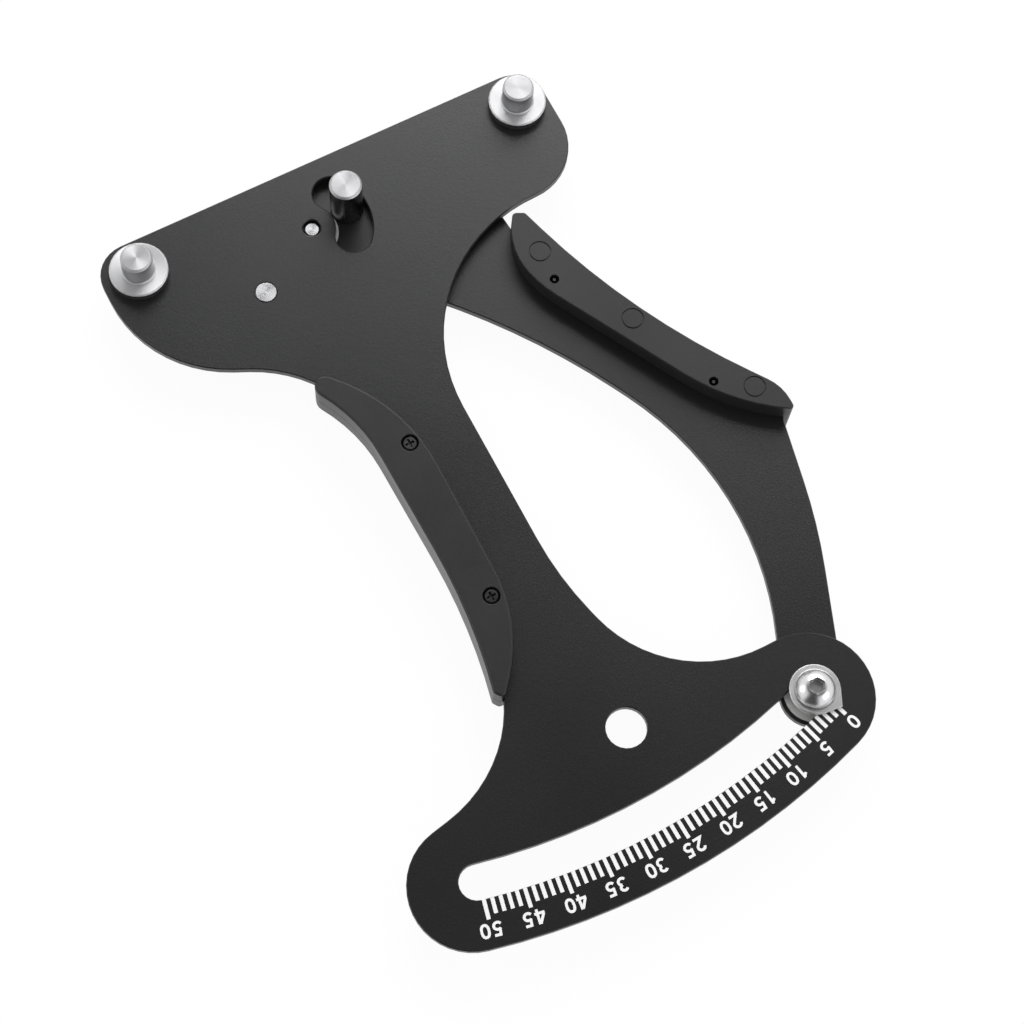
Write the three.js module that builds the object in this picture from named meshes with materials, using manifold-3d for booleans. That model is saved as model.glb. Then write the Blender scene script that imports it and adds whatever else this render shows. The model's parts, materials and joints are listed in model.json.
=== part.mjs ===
// Spoke tension meter: a flat frame with two fixed posts, and a lever whose own post bends a
// spoke held between them. The lever's pointer rides in a slot beside a scale of fifty divisions.
// Millimetres, +Z up. It is drawn about the lever's pivot, on the front face of the frame plate,
// with X along the line of the fixed posts, and then lies on its back, centred on the origin.

import * as THREE from 'three';
import { mergeVertices } from 'three/addons/utils/BufferGeometryUtils.js';
import Module from 'manifold-3d';

const wasm = await Module();
wasm.setup();

const DEGREE = Math.PI / 180;

// General fits
const CHORD_ERROR = 0.05;            // most that a facet cuts into a true arc
const SEAT = 0.1;                    // gap between two pieces that are seated on each other
const FIT = 0.2;                     // gap round a shaft in its hole
const OVERRUN = 4;                   // how far a cutting tool runs past what it cuts

// Layers, down from the front face of the frame plate
const FRAME_THICKNESS = 2.5;
const SPACER_THICKNESS = 1.0;
const LEVER_THICKNESS = 2.5;
const REAR_DEPTH = 12.6;             // front face of the frame plate to the plane it lies on
const PLATE_CHAMFER = 0.25;

const frameBack = -FRAME_THICKNESS;
const spacerFront = frameBack - SEAT;
const spacerBack = spacerFront - SPACER_THICKNESS;
const leverFront = spacerBack - SEAT;
const leverBack = leverFront - LEVER_THICKNESS;

// Frame plate: head
const HEAD_TOP = 18.95;              // straight top edge, above the pivot
const HEAD_LEFT = 59.85;             // left end, from the pivot
const HEAD_RIGHT = 79.1;
const HEAD_BOTTOM = 18.9;            // lower edge of the right lobe, below the pivot
const HEAD_CORNER_RADIUS = 9.6;
const RIGHT_LOBE_RADIUS = 17.3;
const RIGHT_SHOULDER_RADIUS = 48.6;
const LEFT_LOBE_DROP = 19;           // where the left end meets the sloping lower edge
const LEFT_LOBE_RADIUS = 37.3;
const LEFT_SHOULDER_RADIUS = 38;
const LEFT_SLOPE = 25.2 * DEGREE;

// Frame plate: neck
const NECK_LEFT = 12.6;              // from the pivot's middle line; the grip covers this edge
const NECK_RIGHT = 13.1;
const NECK_FLARE = 14.6 * DEGREE;    // how the right edge widens towards the foot
const NECK_FLARE_RISE = 42;          // where it starts, above the top of the foot
const NECK_FLARE_RADIUS = 96.8;

// Frame plate: foot, an even band round the pointer's slot
const SCALE_RADIUS = 191.1;          // middle of the pointer's slot, from the pivot
const SCALE_SLOT_WIDTH = 9.6;
const SCALE_ZERO_ANGLE = -71.84 * DEGREE;
const SCALE_SWEEP = 31.5 * DEGREE;
const LEVER_SWEEP = 31.35 * DEGREE;  // travel of the screw in the slot, a little less than the scale
const FOOT_OUTER_BAND = 12.85;       // from the slot to the outer edge, where the scale is
const FOOT_LEFT_BAND = 11.75;        // from the slot to the inner edge, at each end
const FOOT_RIGHT_BAND = 12.65;
const FOOT_LEFT_LAG = 0.5 * DEGREE;  // how far the foot's ends are turned past the scale's
const FOOT_RIGHT_LAG = 0.85 * DEGREE;
const FOOT_LEFT_SLOPE = 10.65 * DEGREE;
const FOOT_RIGHT_SLOPE = 0.4 * DEGREE;
const FOOT_LEFT_FILLET = 38.3;
const FOOT_RIGHT_FILLET = 36.8;
const HANGING_HOLE_RADIUS = 5.55;
const HANGING_HOLE_ANGLE = -86.83 * DEGREE;
const HANGING_HOLE_INSET = 18.3;     // from the slot to the middle of the hole

// Lever plate
const LEVER_TOP = 18.2;              // straight top edge behind the head, above the pivot
const LEVER_TOP_RUN = 18;            // right end of that edge
const LEVER_TOP_FILLET = 14;
const LEVER_TAIL_LEFT = 17.6;
const LEVER_TAIL_DROP = 7.5;
const LEVER_TAIL_RADIUS = 5;
const LEVER_BOSS_LEFT = 13;          // round the pivot
const LEVER_BOSS_LEFT_DROP = 13;
const LEVER_BOSS_RIGHT = 9;
const LEVER_BOSS_RIGHT_DROP = 20.5;
const LEVER_BOSS_FILLET = 11;
const LEVER_END_RADIUS = 8.8;        // round the pointer's screw

// Fixed posts
const POST_DROP = 10.25;             // line of the fixed posts, below the head's top edge
const LEFT_POST_INSET = 10.8;        // from the left end of the head
const RIGHT_POST_INSET = 9.1;
const POST_RADIUS = 4.45;
const POST_TOP = 10.5;               // above the front face
const POST_FLANGE_RADIUS = 8.3;
const POST_FLANGE_THICKNESS = 3;
const POST_EDGE = 0.35;
const POST_TIP_EDGE = 0.55;          // broken edge round a post's tip
const STEM_RADIUS = 2.5;
const STEM_NUT_FLATS = 8;
const STEM_NUT_THICKNESS = 4;
const STEM_WASHER_RADIUS = 5;
const STEM_WASHER_THICKNESS = 1;

// Centre post, in its slot through the frame plate
const CENTRE_POST_RADIUS = 4.65;
const CENTRE_POST_TOP = 11.6;
const CENTRE_POST_REACH = 12.4;      // from the pivot
const CENTRE_POST_ANGLE = 11.6 * DEGREE;
const CENTRE_SLOT_RADIUS = 12.1;     // middle of the slot, from the pivot
const CENTRE_SLOT_WIDTH = 10.5;
const CENTRE_SLOT_HALF_SWEEP = 38 * DEGREE;

// Pivot
const PIVOT_RADIUS = 2.25;
const PIVOT_HOLE_GAP = 0.35;
const PIVOT_RECESS = 1;              // end of the pin below the front face
const PIVOT_HEAD_RADIUS = 5;
const PIVOT_HEAD_THICKNESS = 2.5;
const PIVOT_SOCKET_FLATS = 3;
const PIVOT_SOCKET_DEPTH = 1.4;
const BUSH_WALL = 1.6;
const BUSH_FLANGE_RADIUS = 6;
const BUSH_FLANGE_THICKNESS = 0.6;
const PIVOT_SPACER_RADIUS = 7.5;

// Return spring and its two pins, behind the lever
const ANCHOR_OFFSET = 20.15;
const ANCHOR_DROP = 12.1;
const ANCHOR_HEAD_RADIUS = 2.93;
const TAIL_PIN_OFFSET = 12.6;
const TAIL_PIN_HEIGHT = 13.2;
const SPRING_PIN_RADIUS = 1.9;
const SPRING_PIN_COLLAR_RADIUS = 2.9;
const SPRING_LEVEL = 9.2;            // axis of the spring, below the front face
const SPRING_WIRE_RADIUS = 0.4;
const SPRING_COIL_RADIUS = 2.2;
const SPRING_COILS = 10;
const SPRING_PITCH = 1.3;
const SPRING_LOOP_GAP = 0.25;

// Pointer and what holds it to the lever
const POINTER_INSET = 0.15;          // its screw, from the slot's middle line
const POINTER_LAG = 0.27 * DEGREE;   // its screw at rest, behind the scale's zero
const POINTER_TURN = 11.5 * DEGREE;   // of its tip, so that it points at the zero
const POINTER_RADIUS = 6.95;
const POINTER_TIP = 8.5;             // from the middle of the pointer
const POINTER_THICKNESS = 1;
const POINTER_EDGE = 0.22;
const POINTER_SCREW_RADIUS = 2.9;
const POINTER_HEAD_RADIUS = 5.5;
const POINTER_HEAD_HEIGHT = 3.2;
const POINTER_HEAD_FLAT = 2.45;       // radius of the flat round the socket
const POINTER_HEAD_RIM = 0.45;       // height of the head's straight rim
const POINTER_SOCKET_FLATS = 4;
const POINTER_SOCKET_DEPTH = 1.9;
const POINTER_SPACER_RADIUS = 7.8;
const POINTER_WASHER_RADIUS = 6;
const POINTER_WASHER_THICKNESS = 1.2;
const POINTER_NUT_FLATS = 10;

// Handle grips: each is a front and a rear half, screwed together through the plate
const FRAME_GRIP_EDGE = 0.5;
const LEVER_GRIP_EDGE = 0.25;
const FRAME_GRIP_HEIGHT = 4.4;       // above and below the frame plate
const LEVER_GRIP_HEIGHT = 6.4;       // above and below the lever plate
const GRIP_SCREW_RADIUS = 1.2;
const GRIP_SCREW_HEAD_RADIUS = 2.25;
const GRIP_SCREW_HEAD_THICKNESS = 1.4;
const GRIP_SCREW_HEAD_EDGE = 0.5;    // rounded rim of the pan head
const GRIP_SCREW_SINK = 0.4;         // head below the face of the grip
const GRIP_SCREW_END_COVER = 1;      // grip left past the end of the screw
const LEVER_SCREW_END_COVER = 2.4;   // the same for the lever's grip, where the end shows
const GRIP_SCREW_POINT_RADIUS = 0.5; // point on the end that shows
const GRIP_SCREW_POINT_LENGTH = 1.9;
const GRIP_CROSS_LENGTH = 2.6;
const GRIP_CROSS_WIDTH = 0.6;
const GRIP_CROSS_DEPTH = 0.8;
const WITNESS_RADIUS = 3.2;          // moulded circles on the lever's front grip
const WITNESS_LINE = 0.4;
const WITNESS_DEPTH = 0.3;

// Outlines drawn corner by corner as [x, y, corner radius], from the pivot
const FRAME_GRIP_LENGTH = 103;
const frameGripShares = [
  [-0.192, -0.420, 0.013],
  [-0.167, -0.424, 0.040],
  [-0.014, -0.580, 0.500],
  [-0.019, -1.262, 0.450],
  [-0.158, -1.429, 0.014],
  [-0.176, -1.401, 0.012],
  [-0.129, -1.196, 2.785],
  [-0.144, -0.573, 0.465],
  [-0.217, -0.449, 0.033],
];
const frameGripScrewShares = [
  [-0.055, -0.698],
  [-0.060, -1.170],
];

// The lever's own outlines are shares of its length, from the pivot to the pointer
const leverGripShares = [
  [0.273, -0.117, 0.016],
  [0.289, -0.125, 0.005],
  [0.353, -0.344, 1.130],
  [0.492, -0.538, 0.071],
  [0.491, -0.579, 0.006],
  [0.413, -0.530, 0.375],
  [0.255, -0.241, 0.441],
  [0.238, -0.163, 0.279],
];
const leverGripScrewShares = [
  [0.277, -0.240],
  [0.406, -0.487],
];
const witnessShares = [
  [0.279, -0.191],
  [0.349, -0.347],
  [0.455, -0.521],
];
const leverOuterShares = [
  [0.442, -0.736, 0.856],
  [0.483, -0.552, 0.030],
  [0.474, -0.518, 0.040],
  [0.379, -0.382, 0.780],
  [0.268, -0.136, 0.063],
  [0.261, -0.047, 0.047],
];
const leverInnerShares = [
  [0.204, -0.264, 1.108],
  [0.401, -0.643, 0.479],
  [0.294, -0.879, 0.05],
];

const at = (x, y) => new THREE.Vector2(x, y);
const polar = (radius, angle) => at(radius * Math.cos(angle), radius * Math.sin(angle));

function steps(radius, sweep) {
  const error = Math.min(CHORD_ERROR, radius / 6);
  return Math.max(2, Math.ceil(Math.abs(sweep) / (2 * Math.acos(1 - error / radius))));
}

function arc(centre, radius, from, to) {
  const count = steps(radius, to - from);
  const place = (i) => polar(radius, from + ((to - from) * i) / count).add(centre);
  return Array.from({ length: count + 1 }, (_, i) => place(i));
}

function circle(centre, radius) {
  return arc(centre, radius, 0, 2 * Math.PI).slice(0, -1);
}

// Rounds the corners of a chain. Each corner is {point, radius}; where two roundings would meet
// on one side, both are made smaller until they fit on it.
function roundedChain(corners, closed) {
  const count = corners.length;
  const pick = (i) => corners[(i + count) % count];
  const isEnd = (i) => !closed && (i === 0 || i === count - 1);
  const corner = (i) => {
    const { point, radius } = pick(i);
    if (isEnd((i + count) % count)) return { point, reach: 0 };
    const back = pick(i - 1).point.clone().sub(point).normalize();
    const ahead = pick(i + 1).point.clone().sub(point).normalize();
    const half = Math.acos(THREE.MathUtils.clamp(back.dot(ahead), -1, 1)) / 2;
    return { point, back, ahead, half, reach: radius / Math.tan(half) };
  };
  const all = corners.map((_, i) => corner(i));
  const room = (i, j) => {
    const a = all[(i + count) % count];
    const b = all[(j + count) % count];
    return Math.min(1, a.point.distanceTo(b.point) / Math.max(a.reach + b.reach, CHORD_ERROR));
  };
  return all.flatMap((c, i) => {
    if (c.reach === 0) return [c.point];
    const reach = c.reach * Math.min(room(i - 1, i), room(i, i + 1));
    const radius = reach * Math.tan(c.half);
    const middle = c.back.clone().add(c.ahead).normalize();
    const centre = c.point.clone().add(middle.multiplyScalar(radius / Math.sin(c.half)));
    const start = c.point.clone().addScaledVector(c.back, reach).sub(centre).angle();
    const end = c.point.clone().addScaledVector(c.ahead, reach).sub(centre).angle();
    const sweep = THREE.MathUtils.euclideanModulo(end - start + Math.PI, 2 * Math.PI) - Math.PI;
    return arc(centre, radius, start, start + sweep);
  });
}

function fromShares(shares, length) {
  return shares.map(([x, y, radius]) => ({ point: at(x * length, y * length), radius: radius * length }));
}

const placesFromShares = (shares, length) => shares.map(([x, y]) => at(x * length, y * length));

// The same outline, moved outward by a distance
function grown(outline, distance) {
  const turn = Math.sign(THREE.ShapeUtils.area(outline));
  return outline.map((point, i) => {
    const before = outline[(i + outline.length - 1) % outline.length];
    const after = outline[(i + 1) % outline.length];
    const along = after.clone().sub(before).normalize();
    return at(point.x + turn * along.y * distance, point.y - turn * along.x * distance);
  });
}

// A slot of even width along an arc about the pivot, with round ends
function arcSlot(radius, width, from, to) {
  const half = width / 2;
  return [
    ...arc(at(0, 0), radius + half, from, to),
    ...arc(polar(radius, to), half, to, to + Math.PI).slice(1),
    ...arc(at(0, 0), radius - half, to, from).slice(1),
    ...arc(polar(radius, from), half, from + Math.PI, from + 2 * Math.PI).slice(1, -1),
  ];
}

// Straight-walled solid between two heights, its edges broken by a chamfer or a round
function slab(outline, holes, bottom, top, edge = 0, rounds = 1) {
  const shape = new THREE.Shape(outline);
  shape.holes = holes.map((points) => new THREE.Path(points));
  const geometry = new THREE.ExtrudeGeometry(shape, {
    depth: top - bottom - 2 * edge,
    bevelEnabled: edge > 0,
    bevelThickness: edge,
    bevelSize: edge,
    bevelOffset: -edge,
    bevelSegments: rounds,
  });
  return geometry.translate(0, 0, bottom + edge);
}

// Solid of revolution about an upright axis; the profile is [radius, height], from low to high
function turned(profile, place = at(0, 0)) {
  const widest = Math.max(...profile.map(([radius]) => radius));
  const points = profile.map(([radius, height]) => at(radius, height));
  const geometry = new THREE.LatheGeometry(points, steps(widest, 2 * Math.PI));
  return geometry.rotateX(Math.PI / 2).translate(place.x, place.y, 0);
}

const cylinder = (radius, bottom, top, place) =>
  turned([[0, bottom], [radius, bottom], [radius, top], [0, top]], place);

function ring(inner, outer, bottom, top, place) {
  return slab(circle(place, outer), [circle(place, inner)], bottom, top);
}

function hexagon(flats, place) {
  const radius = flats / Math.sqrt(3);
  return Array.from({ length: 6 }, (_, i) => polar(radius, (i * Math.PI) / 3).add(place));
}

const hexPrism = (flats, bottom, top, place) => slab(hexagon(flats, place), [], bottom, top);

function box(width, depth, bottom, top, place) {
  const geometry = new THREE.BoxGeometry(width, depth, top - bottom);
  return geometry.translate(place.x, place.y, (top + bottom) / 2);
}

// A closed mesh with shared corners and no slivers, as a solid
function solidOf(geometry) {
  const bare = geometry.clone();
  bare.deleteAttribute('normal');
  bare.deleteAttribute('uv');
  const merged = mergeVertices(bare);
  const index = merged.index.array;
  const kept = [];
  for (let i = 0; i < index.length; i += 3) {
    const [a, b, c] = [index[i], index[i + 1], index[i + 2]];
    if (a !== b && b !== c && c !== a) kept.push(a, b, c);
  }
  return new wasm.Manifold(new wasm.Mesh({
    numProp: 3,
    vertProperties: new Float32Array(merged.attributes.position.array),
    triVerts: new Uint32Array(kept),
  }));
}

function geometryOf(solid) {
  const mesh = solid.getMesh();
  const geometry = new THREE.BufferGeometry();
  geometry.setAttribute('position', new THREE.BufferAttribute(new Float32Array(mesh.vertProperties), 3));
  geometry.setIndex(new THREE.BufferAttribute(new Uint32Array(mesh.triVerts), 1));
  geometry.computeVertexNormals();
  return geometry;
}

function cut(base, ...tools) {
  return geometryOf(tools.reduce((solid, tool) => solid.subtract(solidOf(tool)), solidOf(base)));
}

function join(base, ...others) {
  return geometryOf(others.reduce((solid, other) => solid.add(solidOf(other)), solidOf(base)));
}

// Finishes, each piece with a material of its own
const finishes = {
  blackAnodised: { color: 0x2a2a2b, roughness: 0.45, metalness: 0.6 },
  blackPlastic: { color: 0x2d2d2d, roughness: 0.55, metalness: 0 },
  blackSteel: { color: 0x161616, roughness: 0.4, metalness: 0.8 },
  turnedSteel: { color: 0xd8d8d8, roughness: 0.22, metalness: 1 },
  polishedSteel: { color: 0xc9c9c9, roughness: 0.15, metalness: 1 },
  greySteel: { color: 0x8f8f8f, roughness: 0.4, metalness: 1 },
  whiteNylon: { color: 0xd8d8d6, roughness: 0.5, metalness: 0 },
  springSteel: { color: 0x9c9c9a, roughness: 0.3, metalness: 1 },
  bronze: { color: 0xa77b3f, roughness: 0.4, metalness: 1 },
};

const meter = new THREE.Group();

function piece(name, geometry, finish) {
  const mesh = new THREE.Mesh(geometry, new THREE.MeshStandardMaterial(finishes[finish]));
  mesh.name = name;
  meter.add(mesh);
  return mesh;
}

// Places that several pieces share
const pivot = at(0, 0);
const postLine = HEAD_TOP - POST_DROP;
const leftPost = at(LEFT_POST_INSET - HEAD_LEFT, postLine);
const rightPost = at(HEAD_RIGHT - RIGHT_POST_INSET, postLine);
const centrePost = polar(CENTRE_POST_REACH, CENTRE_POST_ANGLE);
const anchor = at(-ANCHOR_OFFSET, -ANCHOR_DROP);
const tailPin = at(-TAIL_PIN_OFFSET, TAIL_PIN_HEIGHT);
const pointerAngle = SCALE_ZERO_ANGLE - POINTER_LAG;
const pointerPlace = polar(SCALE_RADIUS - POINTER_INSET, pointerAngle);
const frameGripScrews = placesFromShares(frameGripScrewShares, FRAME_GRIP_LENGTH);
const leverGripScrews = placesFromShares(leverGripScrewShares, SCALE_RADIUS);
const slotInner = SCALE_RADIUS - SCALE_SLOT_WIDTH / 2;
const slotOuter = SCALE_RADIUS + SCALE_SLOT_WIDTH / 2;
const hangingHole = polar(slotInner - HANGING_HOLE_INSET, HANGING_HOLE_ANGLE);
const screwHoleRadius = GRIP_SCREW_RADIUS + FIT;
const stemHoleRadius = STEM_RADIUS + FIT;
const bushRadius = PIVOT_RADIUS + FIT + BUSH_WALL;

function frameOutline() {
  const footRadius = slotOuter + FOOT_OUTER_BAND;
  const leftRadius = (footRadius - slotInner + FOOT_LEFT_BAND) / 2;
  const rightRadius = (footRadius - slotInner + FOOT_RIGHT_BAND) / 2;
  const rightAngle = SCALE_ZERO_ANGLE - FOOT_RIGHT_LAG;
  const leftAngle = SCALE_ZERO_ANGLE - SCALE_SWEEP - FOOT_LEFT_LAG;
  const rightEnd = polar(footRadius - rightRadius, rightAngle);
  const leftEnd = polar(footRadius - leftRadius, leftAngle);
  const leftTouch = Math.PI / 2 + FOOT_LEFT_SLOPE;
  const rightTouch = Math.PI / 2 - FOOT_RIGHT_SLOPE;
  const leftTop = polar(leftRadius, leftTouch).add(leftEnd);
  const rightTop = polar(rightRadius, rightTouch).add(rightEnd);
  const leftFoot = leftTop.y + (-NECK_LEFT - leftTop.x) * Math.tan(FOOT_LEFT_SLOPE);
  const leftShoulder = -LEFT_LOBE_DROP - (HEAD_LEFT - NECK_LEFT) * Math.tan(LEFT_SLOPE);
  const flareTop = rightTop.y + NECK_FLARE_RISE;
  const slope = Math.tan(FOOT_RIGHT_SLOPE);
  const flareSlope = Math.tan(NECK_FLARE);
  const flareRun = (rightTop.x - NECK_RIGHT) * slope + NECK_FLARE_RISE;
  const flareDrop = flareRun / (1 + slope * flareSlope);
  const flareFoot = at(NECK_RIGHT + flareDrop * flareSlope, flareTop - flareDrop);
  const chain = [
    { point: leftTop },
    { point: at(-NECK_LEFT, leftFoot), radius: FOOT_LEFT_FILLET },
    { point: at(-NECK_LEFT, leftShoulder), radius: LEFT_SHOULDER_RADIUS },
    { point: at(-HEAD_LEFT, -LEFT_LOBE_DROP), radius: LEFT_LOBE_RADIUS },
    { point: at(-HEAD_LEFT, HEAD_TOP), radius: HEAD_CORNER_RADIUS },
    { point: at(HEAD_RIGHT, HEAD_TOP), radius: HEAD_CORNER_RADIUS },
    { point: at(HEAD_RIGHT, -HEAD_BOTTOM), radius: RIGHT_LOBE_RADIUS },
    { point: at(NECK_RIGHT, -HEAD_BOTTOM), radius: RIGHT_SHOULDER_RADIUS },
    { point: at(NECK_RIGHT, flareTop), radius: NECK_FLARE_RADIUS },
    { point: flareFoot, radius: FOOT_RIGHT_FILLET },
    { point: rightTop },
  ];
  return [
    ...roundedChain(chain, false),
    ...arc(rightEnd, rightRadius, rightTouch, rightAngle).slice(1),
    ...arc(pivot, footRadius, rightAngle, leftAngle).slice(1),
    ...arc(leftEnd, leftRadius, leftAngle, leftTouch - 2 * Math.PI).slice(1, -1),
  ];
}

// The side of a circle that a line from a far point just touches
function touchPoint(centre, radius, from, side) {
  const away = from.clone().sub(centre);
  const open = Math.acos(radius / away.length());
  return polar(radius, away.angle() + side * open).add(centre);
}

function leverOutline() {
  const outer = fromShares(leverOuterShares, SCALE_RADIUS);
  const inner = fromShares(leverInnerShares, SCALE_RADIUS);
  const outerTouch = touchPoint(pointerPlace, LEVER_END_RADIUS, outer[0].point, -1);
  const innerTouch = touchPoint(pointerPlace, LEVER_END_RADIUS, inner[inner.length - 1].point, 1);
  const chain = [
    { point: outerTouch },
    ...outer,
    { point: at(LEVER_TOP_RUN, LEVER_TOP), radius: LEVER_TOP_FILLET },
    { point: at(-LEVER_TAIL_LEFT, LEVER_TOP), radius: LEVER_TAIL_RADIUS },
    { point: at(-LEVER_TAIL_LEFT, LEVER_TAIL_DROP), radius: LEVER_TAIL_RADIUS },
    { point: at(-LEVER_BOSS_LEFT, -LEVER_BOSS_LEFT_DROP), radius: LEVER_BOSS_FILLET },
    { point: at(LEVER_BOSS_RIGHT, -LEVER_BOSS_RIGHT_DROP), radius: LEVER_BOSS_FILLET },
    ...inner,
    { point: innerTouch },
  ];
  const from = innerTouch.clone().sub(pointerPlace).angle();
  const to = outerTouch.clone().sub(pointerPlace).angle();
  const sweep = THREE.MathUtils.euclideanModulo(to - from, 2 * Math.PI);
  return [
    ...roundedChain(chain, false),
    ...arc(pointerPlace, LEVER_END_RADIUS, from, from + sweep).slice(1, -1),
  ];
}

const framePlateOutline = frameOutline();
const leverPlateOutline = leverOutline();
const frameGripOutline = roundedChain(fromShares(frameGripShares, FRAME_GRIP_LENGTH), true);
const leverGripOutline = roundedChain(fromShares(leverGripShares, SCALE_RADIUS), true);

function framePlate() {
  const holes = [
    arcSlot(SCALE_RADIUS, SCALE_SLOT_WIDTH, pointerAngle - LEVER_SWEEP, pointerAngle),
    arcSlot(CENTRE_SLOT_RADIUS, CENTRE_SLOT_WIDTH, -CENTRE_SLOT_HALF_SWEEP, CENTRE_SLOT_HALF_SWEEP),
    circle(pivot, PIVOT_RADIUS + PIVOT_HOLE_GAP),
    circle(anchor, ANCHOR_HEAD_RADIUS + SEAT),
    circle(leftPost, stemHoleRadius),
    circle(rightPost, stemHoleRadius),
    circle(hangingHole, HANGING_HOLE_RADIUS),
    ...frameGripScrews.map((place) => circle(place, screwHoleRadius)),
  ];
  piece('frame_plate', slab(framePlateOutline, holes, frameBack, 0, PLATE_CHAMFER), 'blackAnodised');
}

function leverPlate() {
  const holes = [
    circle(pivot, bushRadius + SEAT),
    circle(centrePost, stemHoleRadius),
    circle(tailPin, SPRING_PIN_RADIUS + SEAT),
    circle(pointerPlace, POINTER_SCREW_RADIUS + FIT),
    ...leverGripScrews.map((place) => circle(place, screwHoleRadius)),
  ];
  const geometry = slab(leverPlateOutline, holes, leverBack, leverFront, PLATE_CHAMFER);
  piece('lever_plate', geometry, 'blackAnodised');
}

// One half of a grip: the whole moulding, cut off at the parting plane, hollowed where the plate
// lies in it and drilled for its screws
function gripHalf(outline, plateOutline, plate, height, edge, front, drills) {
  const middle = (plate.front + plate.back) / 2;
  const top = front ? plate.front + height : middle + OVERRUN;
  const bottom = front ? middle - OVERRUN : plate.back - height;
  const whole = slab(outline, [], bottom, top, edge);
  const span = 2 * SCALE_RADIUS + 2 * FRAME_GRIP_LENGTH;
  const half = front
    ? box(span, span, bottom - OVERRUN, middle + SEAT / 2, pivot)
    : box(span, span, middle - SEAT / 2, top + OVERRUN, pivot);
  const pocket = front
    ? slab(grown(plateOutline, FIT), [], bottom - OVERRUN, plate.front + SEAT)
    : slab(grown(plateOutline, FIT), [], plate.back - SEAT, top + OVERRUN);
  return cut(whole, half, pocket, ...drills);
}

function witnessCircle(place, top) {
  return ring(WITNESS_RADIUS - WITNESS_LINE, WITNESS_RADIUS, top - WITNESS_DEPTH, top + OVERRUN, place);
}

// Pan-head screw with a cross, its head towards `side` (1 for the front, -1 for the rear)
function gripScrew(name, place, face, tip, side, pointLength = 0) {
  const seat = face - side * (GRIP_SCREW_SINK + GRIP_SCREW_HEAD_THICKNESS);
  const crown = face - side * GRIP_SCREW_SINK;
  const low = Math.min(seat, crown);
  const high = Math.max(seat, crown);
  const shaft = cylinder(GRIP_SCREW_RADIUS, Math.min(tip, seat), Math.max(tip, seat), place);
  const head = slab(circle(place, GRIP_SCREW_HEAD_RADIUS), [], low, high, GRIP_SCREW_HEAD_EDGE);
  const slotLow = side > 0 ? crown - GRIP_CROSS_DEPTH : crown - OVERRUN;
  const slotHigh = side > 0 ? crown + OVERRUN : crown + GRIP_CROSS_DEPTH;
  const across = box(GRIP_CROSS_LENGTH, GRIP_CROSS_WIDTH, slotLow, slotHigh, place);
  const along = box(GRIP_CROSS_WIDTH, GRIP_CROSS_LENGTH, slotLow, slotHigh, place);
  const body = [head, shaft];
  if (pointLength > 0) {
    const end = tip - side * pointLength;
    body.push(cylinder(GRIP_SCREW_POINT_RADIUS, Math.min(tip, end) - OVERRUN, Math.max(tip, end), place));
  }
  piece(name, cut(join(...body), across, along), 'blackSteel');
}

function grips() {
  const framePlane = { front: 0, back: frameBack };
  const leverPlane = { front: leverFront, back: leverBack };
  const headHole = GRIP_SCREW_HEAD_RADIUS + FIT;
  const sink = GRIP_SCREW_SINK + GRIP_SCREW_HEAD_THICKNESS + SEAT;

  const frameFace = FRAME_GRIP_HEIGHT;
  const frameTip = frameBack - FRAME_GRIP_HEIGHT + GRIP_SCREW_END_COVER;
  const frameDrills = frameGripScrews.flatMap((place) => [
    cylinder(screwHoleRadius, frameTip - SEAT, frameFace + OVERRUN, place),
    cylinder(headHole, frameFace - sink, frameFace + OVERRUN, place),
  ]);
  const frameHalf = (front) => gripHalf(
    frameGripOutline, framePlateOutline, framePlane, FRAME_GRIP_HEIGHT, FRAME_GRIP_EDGE, front, frameDrills);
  piece('frame_grip_front', frameHalf(true), 'blackPlastic');
  piece('frame_grip_rear', frameHalf(false), 'blackPlastic');
  frameGripScrews.forEach((place, i) => {
    gripScrew(`frame_grip_screw_${i + 1}`, place, frameFace, frameTip, 1);
  });

  const leverFace = leverBack - LEVER_GRIP_HEIGHT;
  const leverTop = leverFront + LEVER_GRIP_HEIGHT;
  const leverTip = leverTop - LEVER_SCREW_END_COVER;
  const leverDrills = leverGripScrews.flatMap((place) => [
    cylinder(screwHoleRadius, leverFace - OVERRUN, leverTop + OVERRUN, place),
    cylinder(headHole, leverFace - OVERRUN, leverFace + sink, place),
  ]);
  const witness = placesFromShares(witnessShares, SCALE_RADIUS)
    .map((place) => witnessCircle(place, leverTop));
  const leverHalf = (front, tools) => gripHalf(
    leverGripOutline, leverPlateOutline, leverPlane, LEVER_GRIP_HEIGHT, LEVER_GRIP_EDGE, front, tools);
  piece('lever_grip_front', leverHalf(true, [...leverDrills, ...witness]), 'blackPlastic');
  piece('lever_grip_rear', leverHalf(false, leverDrills), 'blackPlastic');
  leverGripScrews.forEach((place, i) => {
    gripScrew(`lever_grip_screw_${i + 1}`, place, leverFace, leverTip, -1, GRIP_SCREW_POINT_LENGTH);
  });
}

// Washer and nut on the end of a post's stem, below a plate's back face
function stemFasteners(name, place, back) {
  const washerTop = back - SEAT;
  const washerBottom = washerTop - STEM_WASHER_THICKNESS;
  const nutTop = washerBottom - SEAT;
  const nutBottom = nutTop - STEM_NUT_THICKNESS;
  const washer = ring(stemHoleRadius, STEM_WASHER_RADIUS, washerBottom, washerTop, place);
  const nut = slab(hexagon(STEM_NUT_FLATS, place), [circle(place, stemHoleRadius)], nutBottom, nutTop);
  piece(`${name}_washer`, washer, 'greySteel');
  piece(`${name}_nut`, nut, 'greySteel');
  return nutBottom;
}

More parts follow.
